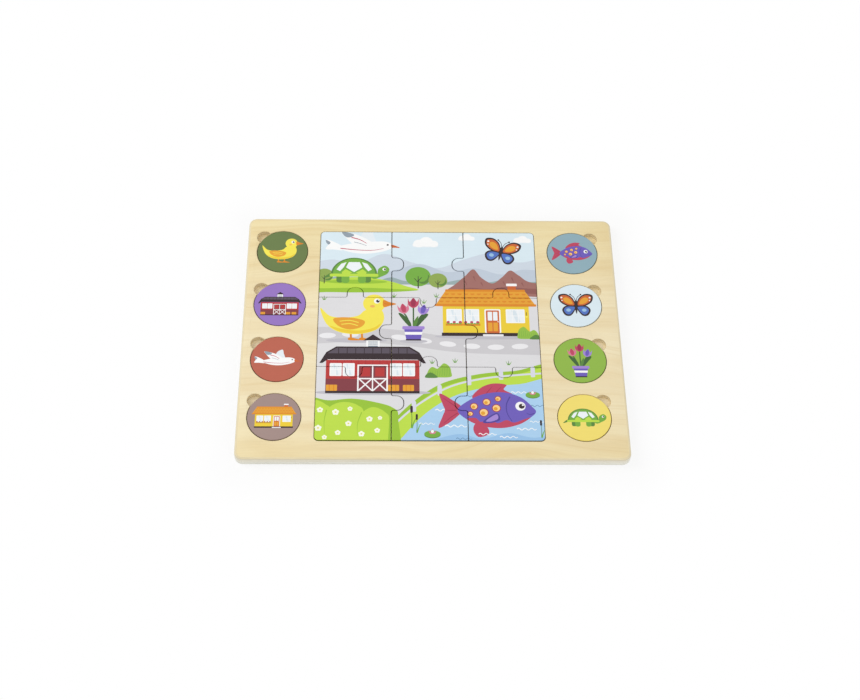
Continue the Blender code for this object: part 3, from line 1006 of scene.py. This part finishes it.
def tulips():
    """Three tulips in a banded pot."""
    shapes = [
        ("forest",
         blob((-2, -10), (-8, -3), (-13, 5), (-9.5, 4.5), (-3, -3)),
         blob((2, -10), (8, -3), (13, 4), (9, 4.5), (3, -3))),
    ]
    shapes += tulip(-8.5, 10, "pink", "crimson", 12)
    shapes += tulip(8.5, 9, "lilac", "violet", -12)
    shapes += tulip(0, 16, "crimson", "crimson_dark", 0)
    return shapes + [
        ("leaf_dark", blob((0.6, -10), (3.6, -4), (4.2, 2.5), (1.4, -1), (-0.4, -6))),
        ("violet", poly((-8.4, -9), (8.4, -9), (6.2, -22), (-6.2, -22))),
        ("lilac", bar(-9.6, -11.4, 9.6, -8, 0.9)),
        ("white", poly((-7.7, -14), (7.7, -14), (7.2, -16.8), (-7.2, -16.8))),
        ("umber", bar(-6.6, -22.8, 6.6, -21.4, 0.5)),
    ]


def round_tree(x, y, size, ink, dark):
    """A round tree with a forked trunk, standing at its foot."""
    return placed([
        (ink, oval(0, 9, 9, 8.4)),
        (dark, oval(3.6, 7.6, 4.6, 4.8)),
        (ink, oval(2.4, 9.6, 4.6, 5.0)),
        ("umber",
         stroke(0.9, (0, -1), (0, 4), (0, 9.5), end_width=0.4),
         stroke(0.6, (0, 4), (-2.8, 7.8), end_width=0.3),
         stroke(0.6, (0, 5.2), (2.6, 8.6), end_width=0.3)),
    ], x, y, size)


def cloud(x, y, size):
    """A white cloud with a flat foot."""
    return placed([
        ("cloud_shade", bar(-12.5, -3.6, 12.5, 1.5, 2.4)),
        ("white",
         oval(-6, 1, 5.4, 4.6), oval(1, 3, 6.4, 5.8), oval(8, 0.6, 4.6, 3.8),
         bar(-12, -2.6, 12.6, 1.8, 2.2)),
    ], x, y, size)


def bush(x, y, size, mirror=False):
    """A clipped bush with ribs, and a darker one in front of it."""
    ribs = [(rib, 13 if rib > 0 else 9) for rib in range(-12, 13, 3)]
    return placed([
        ("leaf_bright", blob((-15, 0), (-14, 9), (-9, 14.5), (-3, 12), (0, 14), (6, 20), (13, 15),
                             (15, 7), (14.5, 0), (0, -1))),
        ("leaf", *(stroke(0.5, (rib, 1), (rib + 0.6, 5), (rib + 0.9, top)) for rib, top in ribs)),
        ("leaf_dark", blob((-18, -1), (-16, 4), (-11, 6.4), (-6, 3.6), (-2, -1), (-10, -1.8))),
    ], x, y, size, mirror)


def daisy(x, y, size):
    """A small white flower of five petals."""
    ways = [math.radians(90 + 72 * k) for k in range(5)]
    return placed([
        ("petal", *(oval(1.35 * math.cos(way), 1.35 * math.sin(way), 1.15) for way in ways)),
        ("petal_eye", oval(0, 0, 0.75)),
    ], x, y, size)


def ripple(x, y, size=1.0, ink="white"):
    """A small wave of three crests."""
    crests = [(k - 7.5, 0.8 * math.sin(math.pi * k / 2.5)) for k in range(16)]
    return placed([(ink, stroke(0.75, *crests, end_width=0.5))], x, y, size)


def reed(x, y, size):
    """A bulrush with one leaf."""
    return placed([
        ("leaf_dark", stroke(0.8, (0, 0), (0.5, 9), (0.2, 17), end_width=0.5)),
        ("leaf", stroke(1.6, (0.4, 0), (2.6, 7), (5.6, 12), end_width=0.2)),
        ("umber", bar(-0.9, 15, 1.3, 22, 1.0)),
    ], x, y, size)


def lily_pad(x, y, size):
    """A floating leaf with a flower on it."""
    return placed([
        ("leaf_dark", oval(0, -0.6, 7, 3.6)),
        ("leaf", oval(0, 0, 7, 3.4)),
        ("pink", blob((-3.4, 3.6), (-1.6, 2), (0, 5), (1.6, 2), (3.4, 3.6), (2, 0.4), (-2, 0.4))),
        ("white", blob((-1.4, 2.4), (0, 4.2), (1.4, 2.4), (0, 0.8))),
    ], x, y, size)


def grass(x, y):
    """A tuft of three blades."""
    return placed([
        ("leaf", stroke(0.9, (0, 0), (-1.6, 3.4), end_width=0.2)),
        ("leaf_dark", stroke(0.9, (0.4, 0), (0.5, 4.2), end_width=0.2)),
        ("leaf", stroke(0.9, (0.8, 0), (2.8, 3.2), end_width=0.2)),
    ], x, y)


def countryside():
    """The far part of the picture: sky, hills, woods, bare mounds, meadow and gravel."""
    shapes = [
        ("sky", bar(-95, -105, 95, 105)),
        ("haze", blob((-110, 40), (-110, 60), (-80, 70), (-58, 66), (-36, 76), (-14, 68), (8, 62),
                      (30, 71), (52, 77), (74, 68), (110, 74), (110, 40))),
        ("hill", blob((-110, 36), (-110, 62), (-84, 58), (-66, 63), (-48, 56), (-26, 60), (-6, 66),
                      (16, 58), (38, 62), (60, 56), (80, 61), (110, 54), (110, 36))),
        ("wood", blob((-110, 38), (-110, 50), (-92, 52), (-84, 49), (-74, 53), (-64, 49),
                      (-54, 52), (-42, 49), (-30, 52.5), (-18, 49), (-4, 52), (12, 48), (30, 51),
                      (48, 48), (66, 52), (82, 48.5), (110, 51), (110, 38))),
        ("gravel", bar(-95, -105, 95, 45.5)),
        ("soil", blob((14, 38), (22, 46), (30, 54), (37, 61), (43, 53), (52, 47), (60, 53),
                      (67, 60), (74, 55), (84, 48), (110, 46), (110, 34), (60, 35.5), (30, 36.5))),
        ("soil_dark", blob((22, 40), (34, 42.5), (48, 41.5), (64, 43.5), (84, 42), (110, 42),
                           (110, 36), (70, 37.6), (40, 38.2))),
    ]
    for x, y, tall in ((30, 49, 4), (37, 54, 5), (43, 48, 4), (61, 49, 4), (68, 53, 5),
                       (76, 48, 4)):
        shapes.append(("soil_dark", stroke(1.4, (x, y), (x + 1.5, y - tall), end_width=0.3)))
    return shapes + [
        ("lime", blob((-110, 30), (-110, 47), (-88, 48.5), (-70, 52), (-50, 52.5), (-32, 49),
                      (-18, 44), (-8, 40), (-30, 38.5), (-60, 38), (-90, 38))),
        ("lime_dark", blob((-110, 30), (-110, 40), (-80, 41.5), (-50, 42), (-26, 41), (-8, 40),
                           (-30, 38), (-60, 37.4), (-90, 37))),
    ]


def yard():
    """The gravel yard's paved way, stepping stones and grass."""
    shapes = [
        ("paving", blob((-110, 2), (-60, 4), (-20, 1), (20, -5), (60, -7), (110, -5), (110, -20),
                        (60, -21), (20, -19), (-20, -13), (-60, -10), (-110, -12))),
    ]
    for x, y, turn in ((-80, -4, 2), (-62, -3, -3), (-23, -5.5, -6), (-4, -8.6, -8),
                       (15, -11.6, -6), (34, -13.6, -3), (53, -14.4, 1), (72, -13.6, 3)):
        shapes.append(("stone", oval(x, y, 6.6, 2.5, turn=turn)))
    for x, y in ((-28, 33), (6, 33), (-4, 27), (2, -30), (20, -29), (62, -31), (-84, 30)):
        shapes += grass(x, y)
    return shapes


def pond():
    """The pond with its bank, fence and ripples."""
    near_corner = ((120, -120), (20, -125))
    shapes = [
        ("lime_dark", blob((-46, -112), (-34, -90), (-16, -68), (8, -49), (36, -40), (66, -36.5),
                           (110, -34), *near_corner)),
        ("lime", blob((-43, -112), (-31, -91), (-13, -70), (10, -52), (38, -43), (67, -39.5),
                      (110, -37), *near_corner)),
        ("water", blob((-30, -112), (-20, -95), (-3, -75), (18, -60), (42, -52), (70, -48.5),
                       (110, -46), *near_corner)),
        ("water_deep", blob((-12, -112), (0, -100), (22, -93), (40, -97), (60, -92), (80, -96),
                            (110, -92), *near_corner)),
        ("fence", stroke(1.6, (-40, -104), (-26, -84), (-8, -66.5), (16, -51), (42, -43.5),
                         (70, -40), (96, -38))),
    ]
    for x, y in ((-29, -87), (-12, -69), (8, -54.5), (31, -45), (56, -40), (81, -37.5)):
        left, right = x - 1.7, x + 1.7
        shapes.append(("fence", bar(left, y - 4.5, right, y + 4.5, 0.8),
                       poly((left, y + 4), (x, y + 6.6), (right, y + 4))))
    for x, y, size in ((12, -72, 1.0), (70, -56, 0.9), (-2, -84, 0.8), (60, -95.5, 0.9),
                       (82, -82, 0.7)):
        shapes += ripple(x, y, size)
    for x, y, size in ((26, -97, 0.8), (84, -68, 0.8), (34, -59.5, 0.7)):
        shapes += ripple(x, y, size, "water_line")
    return shapes


def hedge():
    """The flowering hedge in the near corner."""
    shapes = [
        ("lime_dark", blob((-110, -58), (-92, -60), (-78, -63.5), (-60, -62), (-44, -64.5),
                           (-28, -70), (-24, -80), (-30, -120), (-110, -120))),
        ("lime",
         blob((-110, -72), (-100, -64), (-90, -62.5), (-80, -67), (-76, -76), (-80, -120),
              (-110, -120)),
         blob((-80, -120), (-81, -80), (-76, -69), (-66, -65), (-55, -68), (-50, -78),
              (-52, -120)),
         blob((-55, -120), (-55, -84), (-51, -74), (-43, -69.5), (-34, -74), (-31, -83),
              (-36, -120))),
        ("lime_dark",
         stroke(0.8, (-79, -72), (-80.5, -82), (-80, -93), end_width=0.2),
         stroke(0.8, (-52, -74), (-55, -84), (-55, -95), end_width=0.2)),
    ]
    for x, y, size in ((-84, -72, 1), (-72, -74, 1.1), (-62, -84, 1), (-70, -92, 0.9),
                       (-46, -80, 1), (-85, -88, 1.1), (-52, -93, 1), (-40, -90, 0.9),
                       (-61, -71, 0.8), (-38, -79, 0.7), (-80, -96, 0.8)):
        shapes += daisy(x, y, size)
    return shapes


def picture():
    """Everything printed on the jigsaw, from the back of the picture to its front."""
    shapes = countryside()
    shapes += round_tree(-8, 43, 1.15, "leaf", "leaf_dark")
    shapes += round_tree(8, 42, 0.85, "moss", "leaf_dark")
    shapes += round_tree(-84, 47, 0.8, "moss", "leaf_dark")
    shapes += cloud(-2, 86, 0.85) + cloud(32, 92, 0.55) + cloud(78, 90, 0.6)
    shapes += placed(bird(), -53, 82, 0.93)
    shapes.append(("lime_dark", oval(-58, 48, 25, 2)))
    shapes += placed(tortoise(), -60, 60, 0.92)
    shapes += placed(butterfly(), 60, 78, 0.95, turn=-14)
    shapes += yard()
    shapes.append(("shadow", oval(48, -4.5, 43, 2.6)))
    shapes += placed(cottage(), 46, 18.5, 0.96)
    shapes += bush(79, -6, 0.55, True)
    shapes.append(("shadow", oval(-57, -8.6, 24, 2.2)))
    shapes += placed(duck(), -58, 12.5, 0.98)
    shapes.append(("shadow", oval(-12, -9.2, 11, 1.8)))
    shapes += placed(tulips(), -12, 12.5, 0.92)
    shapes += pond()
    shapes.append(("shadow", oval(-44, -56.5, 45, 2.4)))
    shapes += placed(barn(), -44, -34.5, 0.96)
    shapes += bush(8, -42, 0.62)
    shapes += hedge()
    shapes += placed(fish(), 47, -72, 0.98)
    shapes += ripple(20, -86, 1.1) + ripple(44, -93, 0.9) + ripple(74, -88.5, 1.0)
    shapes += lily_pad(2, -93, 0.9) + lily_pad(80, -58, 0.8)
    shapes += reed(-14, -88, 0.9) + reed(-10, -92, 0.75) + reed(85, -96, 0.7)
    return shapes


# Each tile's ground and motif, with the motif's size and how far it is moved to sit in the middle
TILE_PRINTS = {
    "round_tile_left_1": ("tile_moss", duck, 0.54, -1.0, 0.5),
    "round_tile_left_2": ("tile_lilac", barn, 0.40, 0.0, -1.5),
    "round_tile_left_3": ("tile_brick", bird, 0.54, 0.3, -2.5),
    "round_tile_left_4": ("tile_taupe", cottage, 0.40, 0.0, -0.5),
    "round_tile_right_1": ("tile_mist", fish, 0.44, 1.0, 0.0),
    "round_tile_right_2": ("tile_pale", butterfly, 0.88, 0.0, -0.6),
    "round_tile_right_3": ("tile_leaf", tulips, 0.70, 0.0, 0.2),
    "round_tile_right_4": ("tile_straw", tortoise, 0.58, -1.2, 0.4),
}


def tile_print(node_name, low, high):
    """The ground and motif of one tile, in millimetres round the tile's own middle."""
    ground, motif, size, x, y = TILE_PRINTS[node_name]
    reach = (high.x - low.x) / MM
    around = [(ground, bar(-reach, -reach, reach, reach))]
    middle = (low + high) / 2
    return placed(around + placed(motif(), x, y, size), middle.x / MM, middle.y / MM)


def dress(piece, body, node_name, materials):
    """Gives a finished piece its materials and ties it to the frame."""
    for material in materials:
        piece.data.materials.append(material)
    only(piece)
    bpy.ops.object.shade_smooth_by_angle(angle=SMOOTH_ANGLE)
    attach(piece, body)
    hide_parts(node_name)


def shared(make, name, *shades):
    """A material that several pieces share, made the first time it is asked for."""
    return bpy.data.materials.get(name) or make(name, *shades)


def lacquered_veneer():
    """The veneer of the tray's top and of the loose pieces' backs."""
    wood = settings().wood
    return shared(veneer_material, "Basswood veneer, sanded and clear lacquered", wood.veneer,
                  wood.streak, wood.vein)


def close_glue_line(board):
    """Draws the upper board's underside down to the lower board, to which it is glued."""
    pick(board, "FACE", lambda face: face.normal.z < -LEVEL)
    bpy.ops.transform.translate(value=(0, 0, BASE_TOP.z + SAME_HEIGHT - FRAME_LOW.z))
    bpy.ops.object.mode_set(mode="OBJECT")


def outside(point, low, high):
    """Whether a point of a board lies on its outer side and not on the wall of a cut-out."""
    # No cut-out comes this near to a side of the tray, or this near to both sides of a corner
    margin = 2.5 * MM
    corner = 7.0 * MM
    x = min(point.x - low.x, high.x - point.x)
    y = min(point.y - low.y, high.y - point.y)
    return x < margin or y < margin or (x < corner and y < corner)


def dress_board(board, node_name, materials):
    """Lays veneer on a board's level faces and plies on its edge and on its cut-outs' walls."""
    low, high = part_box(node_name)
    dress(board, "tray", node_name, materials)
    for face in board.data.polygons:
        if abs(face.normal.z) > LEVEL:
            face.material_index = VENEER
        elif outside(face.center, low, high):
            face.material_index = EDGE
        else:
            # The softened rim of a cut-out is still the upper veneer
            face.material_index = VENEER if face.normal.z > RIM else CUT_OUT


class PUZZLE_OT_tray_boards(bpy.types.Operator):
    """Dress the two glued boards of the tray."""

    bl_idname = "puzzle.tray_boards"
    bl_label = "Tray boards"
    bl_options = {"REGISTER", "UNDO"}

    def execute(self, context):
        wood = settings().wood
        frame_edge = plywood_edge_material(
            "Plywood edge of the frame, sanded", FRAME_LOW.z, FRAME_PLIES,
            (wood.edge_long, wood.edge_end, wood.edge_long, wood.edge_upper, wood.edge_face))
        # The walls' two top plies are darker: painted shade under the rim of each cut-out
        wall = plywood_edge_material(
            "Basswood plywood, routed wall", FRAME_LOW.z, FRAME_PLIES,
            (wood.routed_long,) * 3 + (wood.routed_top_shade,) * 2)
        base_edge = plywood_edge_material(
            "Plywood edge of the base, sanded", TRAY_LOW.z, BASE_PLIES,
            (wood.base_long, wood.base_end, wood.base_long))
        bare_veneer = veneer_material(
            "Basswood veneer, sanded and left bare", wood.base_veneer, wood.base_streak,
            wood.base_vein)

        upper = merged_copy("veneered_frame", "frame_board")
        close_glue_line(upper)
        dress_board(upper, "frame_board", (lacquered_veneer(), frame_edge, wall))
        lower = merged_copy("veneered_base", "base_board")
        dress_board(lower, "base_board", (bare_veneer, base_edge))
        return {"FINISHED"}


def piece_materials():
    """The print, the cut wall and the bare back of a loose piece."""
    return (
        shared(print_material, "Printed basswood, matt lacquer"),
        shared(burnt_wall_material, "Basswood plywood, laser-cut wall"),
        lacquered_veneer(),
    )


class PUZZLE_OT_jigsaw_picture(bpy.types.Operator):
    """Make the nine printed pieces of the jigsaw picture."""

    bl_idname = "puzzle.jigsaw_picture"
    bl_label = "Jigsaw picture"
    bl_options = {"REGISTER", "UNDO"}

    def execute(self, context):
        lows, highs = zip(*(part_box(name) for name in PICTURE_NODES))
        x = (min(low.x for low in lows) + max(high.x for high in highs)) / 2
        y = (min(low.y for low in lows) + max(high.y for high in highs)) / 2
        prints = placed(picture(), x / MM, y / MM)
        for node_name in PICTURE_NODES:
            row_column = node_name.removeprefix("puzzle_piece_")
            piece = jigsaw_blank(f"printed_piece_{row_column}", node_name)
            soften_edges(piece, *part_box(node_name))
            imprint(piece, prints)
            dress(piece, f"piece_{row_column}", node_name, piece_materials())
        return {"FINISHED"}


class PUZZLE_OT_round_tiles(bpy.types.Operator):
    """Make the eight printed round tiles."""

    bl_idname = "puzzle.round_tiles"
    bl_label = "Round tiles"
    bl_options = {"REGISTER", "UNDO"}

    def execute(self, context):
        for node_name in TILE_NODES:
            side_row = node_name.removeprefix("round_tile_")
            low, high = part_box(node_name)
            piece = tile_blank(f"printed_tile_{side_row}", low, high)
            soften_edges(piece, low, high)
            imprint(piece, tile_print(node_name, low, high))
            dress(piece, f"tile_{side_row}", node_name,
                  piece_materials())
        return {"FINISHED"}


def eye_rays(tree):
    """1 for a ray that the viewer sees, straight or in a reflection, and 0 for light."""
    path = node(tree, "LightPath")
    seen = node(tree, "Math", {
        0: path["Is Camera Ray"], 1: path["Is Glossy Ray"],
    }, operation="MAXIMUM")
    return node(tree, "Math", {
        0: seen["Value"], 1: path["Is Transmission Ray"],
    }, operation="MAXIMUM")["Value"]


def floor_material():
    """Matt white paper, partly plain white to the eye, so that only a faint shadow shows."""
    studio = settings().studio
    material, tree = new_material("White paper sweep")
    paper = node(tree, "BsdfDiffuse", {"Color": linear("#F4F4F4")})
    glow = node(tree, "Emission", {"Color": linear("#FFFFFF")})
    # How far a spot lies from the tray's outline, because the shadow fades out with it
    spot = node(tree, "VectorMath", {
        0: node(tree, "TexCoord")["Object"],
    }, operation="ABSOLUTE")
    outside_tray = node(tree, "VectorMath", {
        0: spot["Vector"], 1: (TRAY_HIGH.x, TRAY_HIGH.y, 0.0),
    }, operation="SUBTRACT")
    beyond_tray = node(tree, "VectorMath", {
        0: outside_tray["Vector"], 1: (0.0, 0.0, 0.0),
    }, operation="MAXIMUM")
    away = node(tree, "VectorMath", {0: beyond_tray["Vector"]}, operation="LENGTH")
    white = node(tree, "MapRange", {
        "Value": away["Value"], "From Max": studio.floor_fade, "To Min": studio.floor_white,
    }, interpolation_type="SMOOTHSTEP")
    plain = node(tree, "Math", {0: eye_rays(tree), 1: white["Result"]}, operation="MULTIPLY")
    mixed = node(tree, "MixShader", {
        0: plain["Value"], 1: paper["BSDF"], 2: glow["Emission"],
    })
    node(tree, "OutputMaterial", {"Surface": mixed["Shader"]})
    return material


def studio_world():
    """Even light from all round, which looks plain white to the eye."""
    world = bpy.data.worlds.new("Studio")
    world.use_nodes = True
    tree = world.node_tree
    tree.nodes.clear()
    strength = node(tree, "MapRange", {
        "Value": eye_rays(tree), "To Min": settings().studio.ambient,
    })
    light = node(tree, "Background", {
        "Color": linear("#FFFFFF"), "Strength": strength["Result"],
    })
    node(tree, "OutputWorld", {"Surface": light["Background"]})
    return world


def add_lamp(context, name, middle, side, brightness):
    """A square lamp aimed at the tray, as bright on a level surface as its share of white."""
    middle = Vector(middle)
    bpy.ops.object.light_add(type="AREA", location=middle)
    lamp = context.active_object
    lamp.name = name
    lamp.rotation_euler = middle.to_track_quat("Z", "Y").to_euler()
    lamp.data.shape = "SQUARE"
    lamp.data.size = side
    # A disc of the same area lights a facing surface at its distance by this share of itself
    disc = side ** 2 / math.pi
    spread = disc / (disc + middle.length_squared)
    tilt = middle.z / middle.length
    lamp.data.energy = brightness / (spread * tilt) * math.pi * side ** 2


def place_camera(context):
    """Puts the camera where it sees the tray from the child's side, slightly turned."""
    view = settings().camera
    across = Vector((math.cos(view.azimuth), math.sin(view.azimuth), 0))
    back = Vector((math.sin(view.azimuth) * math.cos(view.elevation),
                   -math.cos(view.azimuth) * math.cos(view.elevation),
                   math.sin(view.elevation)))
    up = back.cross(across)
    right = math.cos(view.roll) * across + math.sin(view.roll) * up
    top = math.cos(view.roll) * up - math.sin(view.roll) * across
    middle = Vector((0, 0, TRAY_HIGH.z))
    eye = middle - view.aside * right + view.above * top + view.distance * back
    bpy.ops.object.camera_add()
    camera = context.active_object
    camera.name = "camera"
    camera.data.sensor_width = SENSOR_WIDTH
    camera.data.lens = view.lens
    turn = Matrix((right, top, back)).transposed().to_4x4()
    camera.matrix_world = Matrix.Translation(eye) @ turn
    context.scene.camera = camera


class PUZZLE_OT_stage(bpy.types.Operator):
    """Set up the floor, the light and the camera."""

    bl_idname = "puzzle.stage"
    bl_label = "Floor, light and camera"
    bl_options = {"REGISTER", "UNDO"}

    def execute(self, context):
        studio = settings().studio
        bpy.ops.object.select_all(action="DESELECT")
        bpy.ops.mesh.primitive_plane_add(size=studio.floor_side,
                                         location=(0, 0, TRAY_LOW.z - studio.floor_drop))
        floor = context.active_object
        floor.name = "floor"
        only(floor)
        bpy.ops.object.transform_apply(location=True)
        floor.data.materials.append(floor_material())

        add_lamp(context, "key_lamp", studio.key_place, studio.key_side, studio.key)
        add_lamp(context, "fill_lamp", studio.fill_place, studio.fill_side, studio.fill)
        context.scene.world = studio_world()
        place_camera(context)
        context.scene.view_settings.view_transform = "Standard"
        return {"FINISHED"}


class PUZZLE_PT_panel(bpy.types.Panel):
    """The puzzle's panel in the 3D view's sidebar."""

    bl_label = "Matching puzzle"
    bl_idname = "PUZZLE_PT_panel"
    bl_space_type = "VIEW_3D"
    bl_region_type = "UI"
    bl_category = "Puzzle"

    def draw(self, context):
        for operator in OPERATORS:
            self.layout.operator(operator.bl_idname)
        every = settings()
        for group in (every.wood, every.shape, every.camera, every.studio, every.inks):
            box = self.layout.box()
            for name in type(group).__annotations__:
                box.prop(group, name)


OPERATORS = (PUZZLE_OT_stage, PUZZLE_OT_tray_boards, PUZZLE_OT_jigsaw_picture,
             PUZZLE_OT_round_tiles)
CLASSES = (InkColours, WoodColours, PieceShape, CameraSettings, StudioSettings, PuzzleSettings,
           *OPERATORS, PUZZLE_PT_panel)


def register():
    """Adds the classes and the scene's settings."""
    for each in CLASSES:
        bpy.utils.register_class(each)
    bpy.types.Scene.matching_puzzle = PointerProperty(type=PuzzleSettings)


def unregister():
    """Takes the settings and the classes away again."""
    del bpy.types.Scene.matching_puzzle
    for each in reversed(CLASSES):
        bpy.utils.unregister_class(each)


def main():
    """Makes the puzzle and its stage."""
    register()
    bpy.ops.puzzle.stage()
    bpy.ops.puzzle.tray_boards()
    bpy.ops.puzzle.jigsaw_picture()
    bpy.ops.puzzle.round_tiles()


if __name__ == "__main__":
    main()
